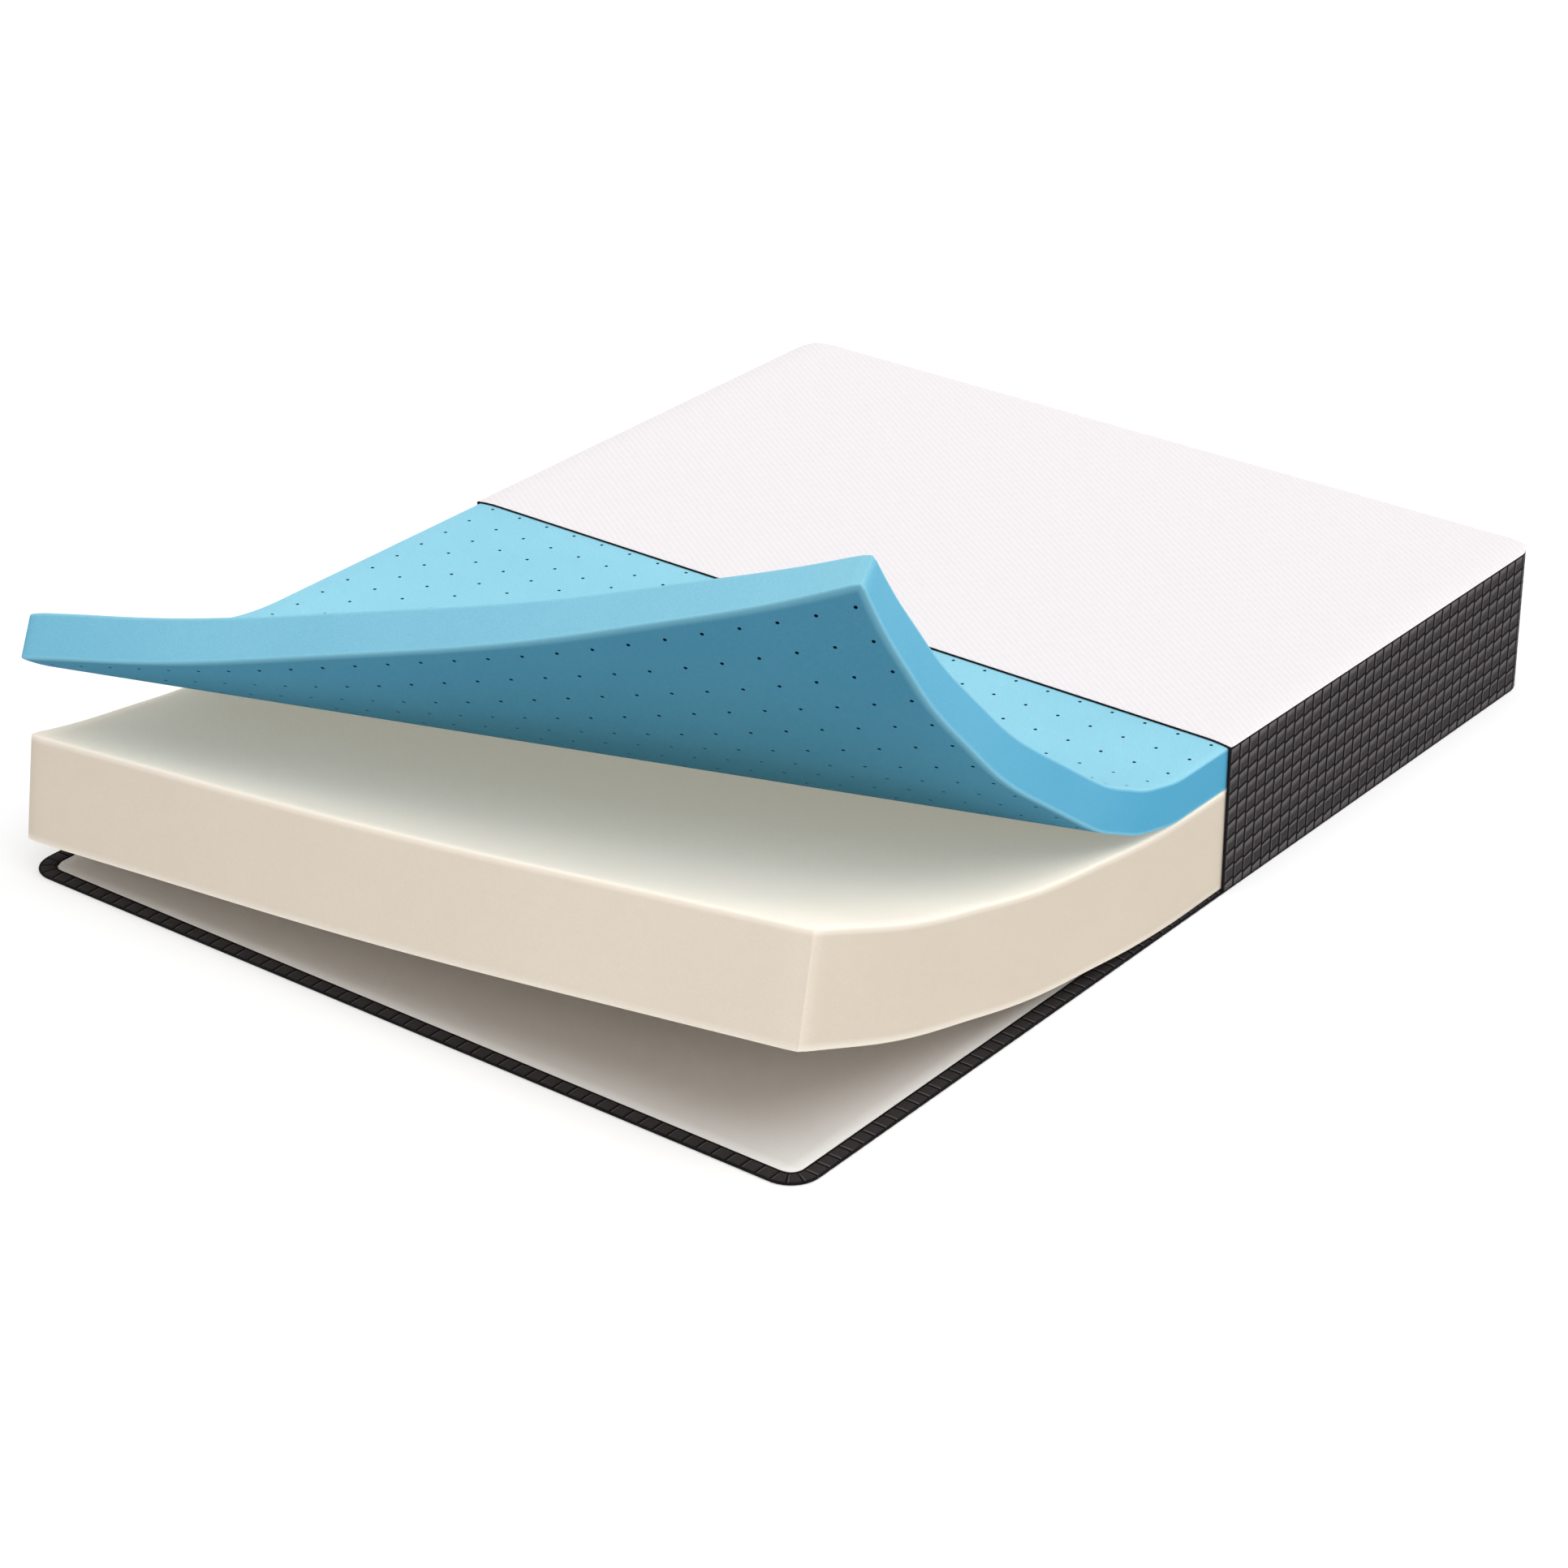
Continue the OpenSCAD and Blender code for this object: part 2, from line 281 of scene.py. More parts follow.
KNIT = knit_finish()
BORDER = border_finish()
PIPING = woven_finish("piping", srgb(34, 31, 34), srgb(16, 14, 17), 1.6 * MM)
# The bottom cloth's edge colour is a painted highlight.
BOTTOM = woven_finish("bottom_fabric", srgb(246, 244, 243), srgb(232, 230, 228), 2.4 * MM,
                      edge=srgb(252, 251, 249))
SOCK = woven_finish("sock_fabric", srgb(240, 238, 234), srgb(214, 211, 206), 1.8 * MM)
TAPE = woven_finish("zipper_fabric", srgb(40, 38, 41), srgb(22, 20, 23), 1.2 * MM)
LABEL = woven_finish("label_fabric", srgb(240, 239, 236), srgb(222, 220, 216), 0.9 * MM, depth=0.1)
NYLON = smooth_finish("zipper_nylon", srgb(30, 29, 32), 0.4, 0.0)
METAL = smooth_finish("zipper_metal", srgb(178, 180, 184), 0.32, 1.0)


# ---------------------------------------------------------------- meshes

def piece(name, verts, faces, mat, attributes=None, sharp=50):
    """A new mesh object from arrays, smooth shaded with sharp edges above that angle."""
    me = bpy.data.meshes.new(name)
    me.from_pydata(np.asarray(verts, float).tolist(), [], faces)
    me.update()
    for key, values in (attributes or {}).items():
        values = np.asarray(values, np.float32)
        if values.ndim == 2:
            me.attributes.new(key, "FLOAT_VECTOR", "POINT").data.foreach_set("vector", values.ravel())
        else:
            me.attributes.new(key, "FLOAT", "POINT").data.foreach_set("value", values)
    me.shade_smooth()
    me.set_sharp_from_angle(angle=math.radians(sharp))
    me.materials.append(mat)
    obj = bpy.data.objects.new(name, me)
    bpy.context.scene.collection.objects.link(obj)
    return obj


def fixed(obj, *nodes, body="root"):
    """Puts a piece on a body, in place of the CAD nodes named."""
    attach(obj, body)
    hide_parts(*nodes)
    return obj


def steps(lo, hi, pitch, start=None):
    """Grid lines from lo to hi at that pitch, passing through start, with a share of a pitch clear at
    both ends."""
    clear = 0.35
    start = lo if start is None else start
    first = math.ceil((lo - start) / pitch + clear)
    last = math.floor((hi - start) / pitch - clear)
    return np.array([lo] + [start + k * pitch for k in range(first, last + 1)] + [hi])


ROUND_STEPS = 3
PIN_SIDES = 16
PIN_RIM = 0.9 * MM


class Slab:
    """A padded slab: a plan grid with rounded corners, a top and a bottom surface and rounded edges.
    holes are (column, row) places on the grid where a round pinhole goes right through."""

    def __init__(self, xs, ys, edge_r, foot_r, head_r, holes=(), hole_r=0.0):
        self.edge_r = edge_r
        nx, ny = len(xs), len(ys)
        plan = [(x, y) for y in ys for x in xs]
        at = lambda i, j: j * nx + i
        taken, self.faces, self.seats = set(), [], []
        for ci, cj in holes:
            taken.update(((ci - 1, cj - 1), (ci, cj - 1), (ci - 1, cj), (ci, cj)))
            rim = [at(ci + a, cj + b) for a, b in
                   ((-1, -1), (0, -1), (1, -1), (1, 0), (1, 1), (0, 1), (-1, 1), (-1, 0))]
            first = len(plan)
            for k in range(PIN_SIDES):
                turn = math.radians(225 + 360 / PIN_SIDES * k)
                plan.append((xs[ci] + hole_r * math.cos(turn), ys[cj] + hole_r * math.sin(turn)))
            for k in range(len(rim)):
                ring = [first + (2 * k + d) % PIN_SIDES for d in (2, 1, 0)]
                self.faces.append((rim[k], rim[(k + 1) % len(rim)], *ring))
                self.seats.append((xs[ci], ys[cj]))
        for j in range(ny - 1):
            for i in range(nx - 1):
                if (i, j) not in taken:
                    self.faces.append((at(i, j), at(i + 1, j), at(i + 1, j + 1), at(i, j + 1)))
                    self.seats.append(((xs[i] + xs[i + 1]) / 2, (ys[j] + ys[j + 1]) / 2))
        self.seats = np.array(self.seats)
        plan = np.array(plan)
        outer = np.zeros(len(plan), bool)
        grid = np.arange(nx * ny)
        outer[: nx * ny] = (grid % nx == 0) | (grid % nx == nx - 1) | (grid < nx) | (grid >= nx * (ny - 1))
        x0, x1, y0, y1 = xs[0], xs[-1], ys[0], ys[-1]
        normal = np.zeros_like(plan)
        normal[plan[:, 0] == x0, 0] = -1
        normal[plan[:, 0] == x1, 0] = 1
        normal[plan[:, 1] == y0, 1] = -1
        normal[plan[:, 1] == y1, 1] = 1
        for sx, sy, cx, cy, r in ((-1, -1, x0, y0, foot_r), (1, -1, x1, y0, foot_r),
                                  (-1, 1, x0, y1, head_r), (1, 1, x1, y1, head_r)):
            r -= edge_r
            centre = np.array([cx - sx * r, cy - sy * r])
            p = (plan - centre) * (sx, sy) / r
            inside = (p[:, 0] > 1e-9) & (p[:, 1] > 1e-9)
            size = np.hypot(p[:, 0], p[:, 1])
            moved = p * (p.max(1) / np.where(size > 0, size, 1))[:, None]
            plan[inside] = centre + (moved * r * (sx, sy))[inside]
            unit = p / np.where(size > 0, size, 1)[:, None] * (sx, sy)
            corner = outer & inside
            normal[corner] = unit[corner]
        self.plan, self.outer, self.normal, self.first_pin = plan, outer, normal, nx * ny

    def build(self, keep, floor, top, soft):
        """Vertices, faces and marks of the faces kept; floor and top give z from the plan, and soft is how
        far the painted highlight on the edge fades down the side. The marks tell edges, cut sides, the
        underside and the sides of the pinholes apart, for the painted highlight and painted shade."""
        verts, marks, faces, made = [], [], [], {}
        z0s, z1s = floor(self.plan), top(self.plan)
        kept = [self.faces[i] for i in np.flatnonzero(keep)]
        ladder = []
        for k in range(ROUND_STEPS + 1):
            turn = math.pi / 2 * k / ROUND_STEPS
            ladder.append((self.edge_r * math.sin(turn), self.edge_r * (1 - math.cos(turn)), 1.0))
        if soft:
            ladder.append((self.edge_r, self.edge_r + soft, 0.0))

        def rung(v, level, up):
            """A vertex of the edge's profile: level 0 is on the surface."""
            key = (v, level, up)
            if key not in made:
                out, down, mark = ladder[level] if self.outer[v] else (0.0, level * PIN_RIM, 0.0)
                pin = 0.0 if self.outer[v] else float(level)
                steep = min(level / ROUND_STEPS, 1.0) if self.outer[v] else 0.0
                z = z1s[v] - down if up else z0s[v] + down
                x, y = self.plan[v] + self.normal[v] * out
                made[key] = len(verts)
                verts.append((x, y, z))
                marks.append((mark, steep, 0.0 if up else 1.0 - steep, pin))
            return made[key]

        sides = set()
        for f in kept:
            faces.append([rung(v, 0, True) for v in f])
            faces.append([rung(v, 0, False) for v in reversed(f)])
            sides.update(zip(f, f[1:] + f[:1]))
        for a, b in sides:
            if (b, a) in sides:
                continue
            if self.outer[a] and self.outer[b]:
                last = len(ladder) - 1
                column = [(k, True) for k in range(last + 1)] + [(k, False) for k in range(last, -1, -1)]
            elif a >= self.first_pin and b >= self.first_pin:
                column = [(0, True), (1, True), (1, False), (0, False)]
            else:
                column = [(0, True), (0, False)]
            for (k1, u1), (k2, u2) in zip(column, column[1:]):
                faces.append([rung(a, k2, u2), rung(b, k2, u2), rung(b, k1, u1), rung(a, k1, u1)])
        return np.array(verts), faces, dict(zip(("edge", "side_shade", "under", "pin"), np.array(marks).T))


# ---------------------------------------------------------------- the bend of the foam

def turn_about(points, pos, axis, angle):
    """Points turned about an axis; the angle may differ from point to point."""
    axis = np.asarray(axis, float) / np.linalg.norm(axis)
    p = points - pos
    c, s = np.cos(angle), np.sin(angle)
    if np.ndim(angle):
        c, s = c[:, None], s[:, None]
    return pos + p * c + np.cross(axis, p) * s + (p @ axis)[:, None] * axis * (1 - c)


def fold_lines(names):
    """The folds of a layer while it lies flat: (y at the right side, y at the left side, height, angle)."""
    before, lines = [], []
    for name in names:
        j = JOINTS[name]
        pos, axis = np.array([j["pos_m"]], float), np.array([j["axis"]], float)
        tip = pos + axis
        for p0, a0, t0 in before:
            pos, tip = (turn_about(q, p0, a0, -t0) for q in (pos, tip))
        axis = (tip - pos)[0]
        angle = math.radians(-j["range_deg"][0])
        before.append((pos[0], axis, angle))
        slope = axis[1] / axis[0]
        y = [pos[0, 1] + (x - pos[0, 0]) * slope for x in (HALF_W, -HALF_W)]
        lines.append((y[0], y[1], pos[0, 2], angle))
    return lines


def beyond(line, xy):
    """How far points lie past a line across the mattress, towards the foot."""
    right, left = line
    y = right + (left - right) * (HALF_W - xy[:, 0]) / (2 * HALF_W)
    return (y - xy[:, 1]) * 2 * HALF_W / math.hypot(2 * HALF_W, right - left)


def limits(lines):
    """The lines halfway between the folds, where one piece of foam ends and the next begins."""
    f = np.array([l[:2] for l in lines])
    return [tuple(f[0] - (f[1] - f[0]) / 2)] + [tuple((a + b) / 2) for a, b in zip(f, f[1:])] + \
        [tuple(f[-1] + (f[-1] - f[-2]) / 2)]


BEND_PARTS = 8


def bends(lines):
    """For each fold, the lines that cut its bend into parts of equal angle. They lie closer together on
    the side where there is less room, so that they balance about the fold."""
    marks = [np.array(m) for m in limits(lines)]
    level = np.linspace(0, 1, BEND_PARTS + 1)[:, None]
    zones = []
    for line, before, after in zip(lines, marks, marks[1:]):
        fold = np.array(line[:2])
        first = np.minimum(before - fold, 2 * (fold - after))
        last = np.minimum(fold - after, 2 * (before - fold))
        lean = 6 * (first / (first + last) - 0.5)
        lean = np.where(np.abs(lean) < 1e-6, 1e-6, lean)
        across = (lean - 1 + np.sqrt((1 - lean) ** 2 + 4 * lean * level)) / (2 * lean)
        zones.append(fold + first - (first + last) * across)
    return zones


def share(a, b, xy):
    """0 before line a, 1 after line b, and even between them."""
    da, db = beyond(a, xy), beyond(b, xy)
    return np.clip(da / np.maximum(da - db, 1e-6), 0, 1)


def passed(zone, xy):
    """How much of a bend lies behind each point, 0 to 1."""
    return sum(share(f0, f1, xy) for f0, f1 in zip(zone, zone[1:])) / (len(zone) - 1)


def bent(flat, lines):
    """Flat points carried to the bent shape, each fold's angle spread over its bend."""
    out = flat.copy()
    for line, zone in reversed(list(zip(lines, bends(lines)))):
        z, angle = line[2], line[3] / (len(zone) - 1)
        for f0, f1 in reversed(list(zip(zone, zone[1:]))):
            right, left = (f0 + f1) / 2
            axis = -np.array([2 * HALF_W, right - left, 0.0])
            out = turn_about(out, np.array([HALF_W, right, z]), axis, share(f0, f1, flat[:, :2]) * angle)
    return out


def hinged(flat, lines):
    out = flat.copy()
    for (right, left, z, angle), zone in reversed(list(zip(lines, bends(lines)))):
        t = passed(zone, flat[:, :2])
        axis = -np.array([2 * HALF_W, right - left, 0.0])
        out = turn_about(out, np.array([HALF_W, right, z]), axis, t * t * (3 - 2 * t) * angle)
    return out


def foam_layer(name, slab, joints, nodes, floor, top, mat, soft):
    lines = fold_lines(joints)
    marks = limits(lines)
    past = [beyond(m, slab.seats) > 0 for m in marks[1:-1]]
    zones = bends(lines)
    for i in range(len(lines)):
        keep = np.ones(len(slab.faces), bool)
        if i > 0:
            keep &= past[i - 1]
        if i < len(lines) - 1:
            keep &= ~past[i]
        verts, faces, marked = slab.build(keep, floor, top, soft=soft)
        obj = piece(name if i == 0 else f"{name}_bend_{i + 1}", verts, faces, mat,
                    {"flat": verts, **marked})
        param = np.zeros_like(verts)
        param[:, 1] = passed(zones[i], verts[:, :2])
        obj.data.vertices.foreach_set("co", param.astype(np.float32).ravel())
        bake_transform(obj)
        curved = (bent(verts, lines) + hinged(verts, lines)) / 2
        obj.data.vertices.foreach_set("co", curved.astype(np.float32).ravel())
        obj.data.update()
        # Painted shade: the cut sides take more of their darker colour the more they face sideways in the
        # bent shape.
        lean = np.zeros(3 * len(verts), np.float32)
        obj.data.vertex_normals.foreach_get("vector", lean)
        side_shade_by_facing = marked["side_shade"] * np.clip(1.1 - np.clip(lean[2::3], 0, 1), 0, 1)
        obj.data.attributes["side_shade"].data.foreach_set("value", side_shade_by_facing.astype(np.float32))
        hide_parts(*(nodes[:2] if i == 0 else nodes[i + 1:i + 2]))


SHOULDER = 46 * MM
SHOULDER_DROP = 4 * MM


def drop(xy):
    """How far the top rounds down near the long sides and the head end."""
    d = np.minimum(HALF_W - np.abs(xy[:, 0]), HALF_L - xy[:, 1])
    return SHOULDER_DROP * (1 - np.clip(d / SHOULDER, 0, 1)) ** 2


def eased(xy, depth):
    """Room left for the motion of the loose foam, growing from nothing near the cover's cut."""
    t = np.clip((CUT_Y - 90 * MM - xy[:, 1]) / (120 * MM), 0, 1)
    return depth * t * t * (3 - 2 * t)


# ---------------------------------------------------------------- foam

PIN_PITCH = 60.45 * MM
PIN_X = 8 * MM
PIN_Y = 55 * MM
EDGE = 5 * MM
GEL_EDGE = 3 * MM
FOAM_HEAD_R = 42 * MM
BASE_GRID = 20 * MM
BASE_COARSE_FROM = 0.2
cell = PIN_PITCH / 6
xs = steps(-FOAM_W + GEL_EDGE, FOAM_W - GEL_EDGE, cell, PIN_X)
ys = np.concatenate([steps(-FOAM_L + GEL_EDGE, PIN_Y + 5 * cell, cell, PIN_Y),
                     np.linspace(PIN_Y + 5 * cell, FOAM_L - GEL_EDGE, 18)[1:]])


def on_pitch(distance):
    """Whether a grid line lies on a row or column of pinholes."""
    count = distance / PIN_PITCH
    return abs(count - round(count)) < 1e-6


columns = [i for i, x in enumerate(xs) if on_pitch(x - PIN_X)]
rows = [j for j, y in enumerate(ys) if y < PIN_Y + 1e-6 and on_pitch(y - PIN_Y)]
pins = [(i, j) for j in rows if 1 < j < len(ys) - 2 for i in columns if 1 < i < len(xs) - 2]
gel_slab = Slab(xs, ys, GEL_EDGE, foot_r=8 * MM, head_r=FOAM_HEAD_R, holes=pins, hole_r=3.0 * MM)
foam_layer("gel_foam_sheet", gel_slab,
           ["gel_lift", "gel_bend_2", "gel_bend_3", "gel_curl", "gel_curl_5", "gel_curl_6"],
           ["gel_layer"] + [f"gel_flap_{i}" for i in range(1, 7)],
           lambda p: GEL_LO.z + 0.3 * MM + eased(p, 1.6 * MM),
           lambda p: GEL_HI.z - drop(p), GEL, 3 * MM)

xs = steps(-FOAM_W + EDGE, FOAM_W - EDGE, BASE_GRID)
ys = np.concatenate([steps(-FOAM_L + EDGE, BASE_COARSE_FROM, BASE_GRID),
                     np.linspace(BASE_COARSE_FROM, FOAM_L - EDGE, 12)[1:]])
base_slab = Slab(xs, ys, EDGE, foot_r=14 * MM, head_r=FOAM_HEAD_R)
foam_layer("base_foam_block", base_slab, ["base_lift", "base_bend_2", "base_bend_3"],
           ["base_layer"] + [f"base_flap_{i}" for i in range(1, 4)],
           lambda p: BASE_LO.z + eased(p, 1.6 * MM), lambda p: BASE_HI.z - eased(p, 1.2 * MM),
           BASE, 8 * MM)


# ---------------------------------------------------------------- the outline

def outline(s, inset=0.0):
    """Points and outward normals round the mattress, s metres on from the foot end of the right side."""
    a, b, q = 2 * (HALF_L - CORNER_R), 2 * (HALF_W - CORNER_R), math.pi / 2 * CORNER_R
    s = np.asarray(s, float)
    x, y, nx, ny = (np.zeros(len(s)) for _ in range(4))
    at = 0.0
    corners = ((1, 1), (-1, 1), (-1, -1), (1, -1))
    for k, (length, (dx, dy)) in enumerate(zip((a, b, a, b), ((0, 1), (-1, 0), (0, -1), (1, 0)))):
        sx, sy = corners[k]
        cx, cy = sx * (HALF_W - CORNER_R), sy * (HALF_L - CORNER_R)
        ux, uy = dy, -dx
        on = (s >= at - 1e-9) & (s <= at + length + 1e-9)
        t = s[on] - at - length
        x[on], y[on] = cx + ux * CORNER_R + dx * t, cy + uy * CORNER_R + dy * t
        nx[on], ny[on] = ux, uy
        at += length
        on = (s > at) & (s < at + q)
        turn = (s[on] - at) / CORNER_R
        nx[on] = ux * np.cos(turn) + dx * np.sin(turn)
        ny[on] = uy * np.cos(turn) + dy * np.sin(turn)
        x[on], y[on] = cx + nx[on] * CORNER_R, cy + ny[on] * CORNER_R
        at += q
    return x - nx * inset, y - ny * inset, nx, ny


LOOP = 4 * (HALF_L - CORNER_R) + 4 * (HALF_W - CORNER_R) + 2 * math.pi * CORNER_R
BORDER_START = CUT_Y + BINDING + HALF_L - CORNER_R
BORDER_END = 4 * (HALF_L - CORNER_R) + 2 * (HALF_W - CORNER_R) + math.pi * CORNER_R - BORDER_START
TILE_MM = 26.5
TILE_S = np.array([0, 0.9, 2.0, 4.2, 13, 21.4, 23.6, 25.0])
TILE_H = np.array([0, 0.35, 0.88, 0.98, 1.0, 0.95, 0.72, 0.2])
TILE_SLANT = 5 * MM
# Where each tile's painted highlight lies along it, as a share of the tile.
TILE_HIGHLIGHT = (0.03, 0.14)


def tile_lines(start, end, pitch, extra=()):
    """Grid lines across a row of tiles, with the tile's height at each (0 in the gap, 1 on top) and how
    far each lies through its tile."""
    count = int((end - start) / pitch) + 1
    across = TILE_S * MM * pitch / (TILE_MM * MM)
    base = np.concatenate([start + k * pitch + across for k in range(count)])
    lines = np.concatenate([[start, end], base[(base > start + 1e-4) & (base < end - 1e-4)], extra])
    lines = np.unique(np.round(lines, 7))
    phase = ((lines - start) / pitch) % 1.0
    height = np.interp(phase, np.append(TILE_S / TILE_MM, 1.0), np.append(TILE_H, 0.0))
    return lines, height, phase


def sweep(s, closed, rings):
    """Faces of a grid of len(s) columns and rings rows, the rows closed on themselves."""
    n = len(s)
    faces = []
    for i in range(n if closed else n - 1):
        j = (i + 1) % n
        for k in range(rings):
            m = (k + 1) % rings
            faces.append((i * rings + k, i * rings + m, j * rings + m, j * rings + k))
    if not closed:
        faces.append(tuple(range(rings - 1, -1, -1)))
        faces.append(tuple((n - 1) * rings + k for k in range(rings)))
    return faces


def tube(name, s, closed, inset, z, ry, rz, nodes, rings=10):
    """A piping that follows the outline. ry and rz are its half sizes across and up, and ry may vary."""
    x, y, nx, ny = outline(s, inset)
    verts = []
    ry = np.broadcast_to(ry, x.shape)
    for i in range(len(x)):
        for k in range(rings):
            t = 2 * math.pi * k / rings
            o = ry[i] * math.cos(t)
            verts.append((x[i] + nx[i] * o, y[i] + ny[i] * o, z + rz * math.sin(t)))
    faces = [f[::-1] for f in sweep(x, closed, rings)]
    return fixed(piece(name, verts, faces, PIPING), *nodes)


def rod(name, points, side, half_a, up, half_b, nodes, rings=10):
    """A binding along the points given, an ellipse in section."""
    side, up = np.array(side), np.array(up)
    verts = [tuple(np.array(p) + side * half_a * math.cos(2 * math.pi * k / rings)
                   + up * half_b * math.sin(2 * math.pi * k / rings)) for p in points for k in range(rings)]
    return fixed(piece(name, verts, sweep(points, False, rings), PIPING), *nodes)


# ---------------------------------------------------------------- cover

def make_border():
    """The band of raised tiles round the head and both sides, open over the zipper."""
    top, bottom = BORDER_HI.z - 0.6 * MM, BORDER_LO.z
    zip_lo, zip_hi = 37 * MM, 55 * MM
    zip_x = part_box("zipper_end_stops")[1].x
    mid = 2 * (HALF_L - CORNER_R) + math.pi / 2 * CORNER_R + (HALF_W - CORNER_R)
    length = BORDER_END - BORDER_START
    pitch = length / round(length / (TILE_MM * MM))
    s, hs, ps = tile_lines(BORDER_START, BORDER_END, pitch, [mid - zip_x, mid + zip_x])
    d, hz, pz = tile_lines(0.0, top - bottom, 26.0 * MM, [top - zip_hi, top - zip_lo])
    z = top - d
    x, y, nx, ny = outline(s)
    n, m = len(s), len(z)
    h = np.minimum(hs[:, None], hz[None, :])
    out = -1.9 * MM + 2.3 * MM * h
    from_zip = np.minimum(abs(z - zip_lo), abs(z - zip_hi))
    from_hem = np.minimum(np.minimum(z - bottom, top - z), from_zip + 3 * MM)
    slanted = z[None, :] + TILE_SLANT * (ps[:, None] - 0.5) * np.clip(from_hem / (8 * MM), 0, 1)[None, :]
    verts = np.stack([x[:, None] + nx[:, None] * out, y[:, None] + ny[:, None] * out, slanted], -1)
    verts = verts.reshape(-1, 3)
    # The painted shade of the gaps: full where the tile is lowest.
    gap = (1 - h).reshape(-1)
    # Painted highlight on each tile's upper edge and on its edge at the start of the tile along the loop.
    near = np.broadcast_to((ps[:, None] < TILE_HIGHLIGHT[1]) & (ps[:, None] > TILE_HIGHLIGHT[0]), (n, m))
    over = np.broadcast_to((pz[None, :] < 0.16) & (pz[None, :] > TILE_HIGHLIGHT[0]), (n, m))
    lit = ((near | over) & (h > 0.7)).astype(float).reshape(-1)
    flat = np.stack([np.broadcast_to(s[:, None], (n, m)), np.broadcast_to(z, (n, m)), np.zeros((n, m))],
                    -1).reshape(-1, 3)
    rows = [0, int(np.argmin(abs(z - zip_hi))), int(np.argmin(abs(z - zip_lo))), m - 1]
    open_from, open_to = (int(np.argmin(abs(s - v))) for v in (mid - zip_x, mid + zip_x))
    back = len(verts)
    bx, by = x - nx * 3.4 * MM, y - ny * 3.4 * MM
    behind = np.stack([np.repeat(bx, 4), np.repeat(by, 4), np.tile(z[rows], n)], -1)
    verts = np.vstack([verts, behind])
    gap, lit = np.append(gap, np.zeros(4 * n)), np.append(lit, np.zeros(4 * n))
    flat = np.vstack([flat, np.stack([np.repeat(s, 4), np.tile(z[rows], n), np.ones(4 * n)], -1)])
    F = lambda i, k: i * m + k
    B = lambda i, r: back + 4 * i + r
    faces = []
    for i in range(n - 1):
        opened = open_from <= i < open_to
        for k in range(m - 1):
            if not (opened and rows[1] <= k < rows[2]):
                faces.append((F(i, k), F(i, k + 1), F(i + 1, k + 1), F(i + 1, k)))
        for r in range(3):
            if not (opened and r == 1):
                faces.append((B(i, r), B(i + 1, r), B(i + 1, r + 1), B(i, r + 1)))
        faces.append((F(i, 0), F(i + 1, 0), B(i + 1, 0), B(i, 0)))
        faces.append((F(i, m - 1), B(i, 3), B(i + 1, 3), F(i + 1, m - 1)))
        if opened:
            faces.append((F(i, rows[1]), B(i, 1), B(i + 1, 1), F(i + 1, rows[1])))
            faces.append((F(i, rows[2]), F(i + 1, rows[2]), B(i + 1, 2), B(i, 2)))
    faces.append([F(0, k) for k in range(m - 1, -1, -1)] + [B(0, r) for r in range(4)])
    faces.append([F(n - 1, k) for k in range(m)] + [B(n - 1, r) for r in range(3, -1, -1)])
    for i, flip in ((open_from, False), (open_to, True)):
        ring = [F(i, k) for k in range(rows[1], rows[2] + 1)] + [B(i, 2), B(i, 1)]
        faces.append(ring[::-1] if flip else ring)
    obj = piece("tiled_side_border", verts, faces, BORDER,
                {"flat": flat, "gap": gap, "lit": lit}, sharp=80)
    fixed(obj, "side_border")


RIM_TILE = 0.0262
RIM_PROFILE = [(3.1, 0.3, 1.0), (3.1, 3.2, 0.7), (3.9, 4.1, 0.9), (6.5, 4.5, 1.0), (14.5, 4.7, 1.0),
               (22.5, 4.5, 1.0), (25.2, 4.1, 0.9), (25.9, 3.2, 0.3), (25.9, 0.3, 0.0)]


def make_rim():
    """The row of tiles turned under the foot. RIM_PROFILE is its section: mm in from the outline, mm up,
    and the most that a tile's height may count there for the painted shade in the gaps."""
    s, hs, ps = tile_lines(0.0, LOOP, LOOP / round(LOOP / RIM_TILE))
    s, hs, ps = s[:-1], hs[:-1], ps[:-1]
    verts, gap, lit, flat = [], [], [], []
    for k_s in range(len(s)):
        for d, z, f in RIM_PROFILE:
            px, py, _, _ = (v[0] for v in outline(s[k_s:k_s + 1], d * MM))
            h = min(hs[k_s], f)
            verts.append((px, py, (z - 1.9 * (1 - hs[k_s]) * (z > 1)) * MM))
            # Painted shade in the gaps, and a painted highlight at the start of each tile on its upper face.
            gap.append(1 - h)
            lit.append(float(TILE_HIGHLIGHT[0] < ps[k_s] < TILE_HIGHLIGHT[1] and z > 4))
            flat.append((s[k_s], d * MM, 0))
    faces = sweep(s, True, len(RIM_PROFILE))
    obj = piece("tiled_foot_rim", verts, [f[::-1] for f in faces], BORDER,
                {"flat": flat, "gap": gap, "lit": lit}, sharp=80)
    fixed(obj, "bottom_rim")
    return s, hs


def make_bottom():
    """The pale cloth inside the rim."""
    lo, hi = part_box("bottom_panel")
    r = 1.2 * MM
    xs, ys = steps(lo.x + r, hi.x - r, 20 * MM), steps(lo.y + r, hi.y - r, 20 * MM)
    bottom = Slab(xs, ys, r, foot_r=21 * MM, head_r=21 * MM)
    verts, faces, marked = bottom.build(
        np.ones(len(bottom.faces), bool), lambda p: np.full(len(p), lo.z),
        lambda p: np.full(len(p), hi.z - 0.4 * MM), soft=0)
    obj = piece("woven_bottom_panel", verts, faces, BOTTOM, marked)
    fixed(obj, "bottom_panel")


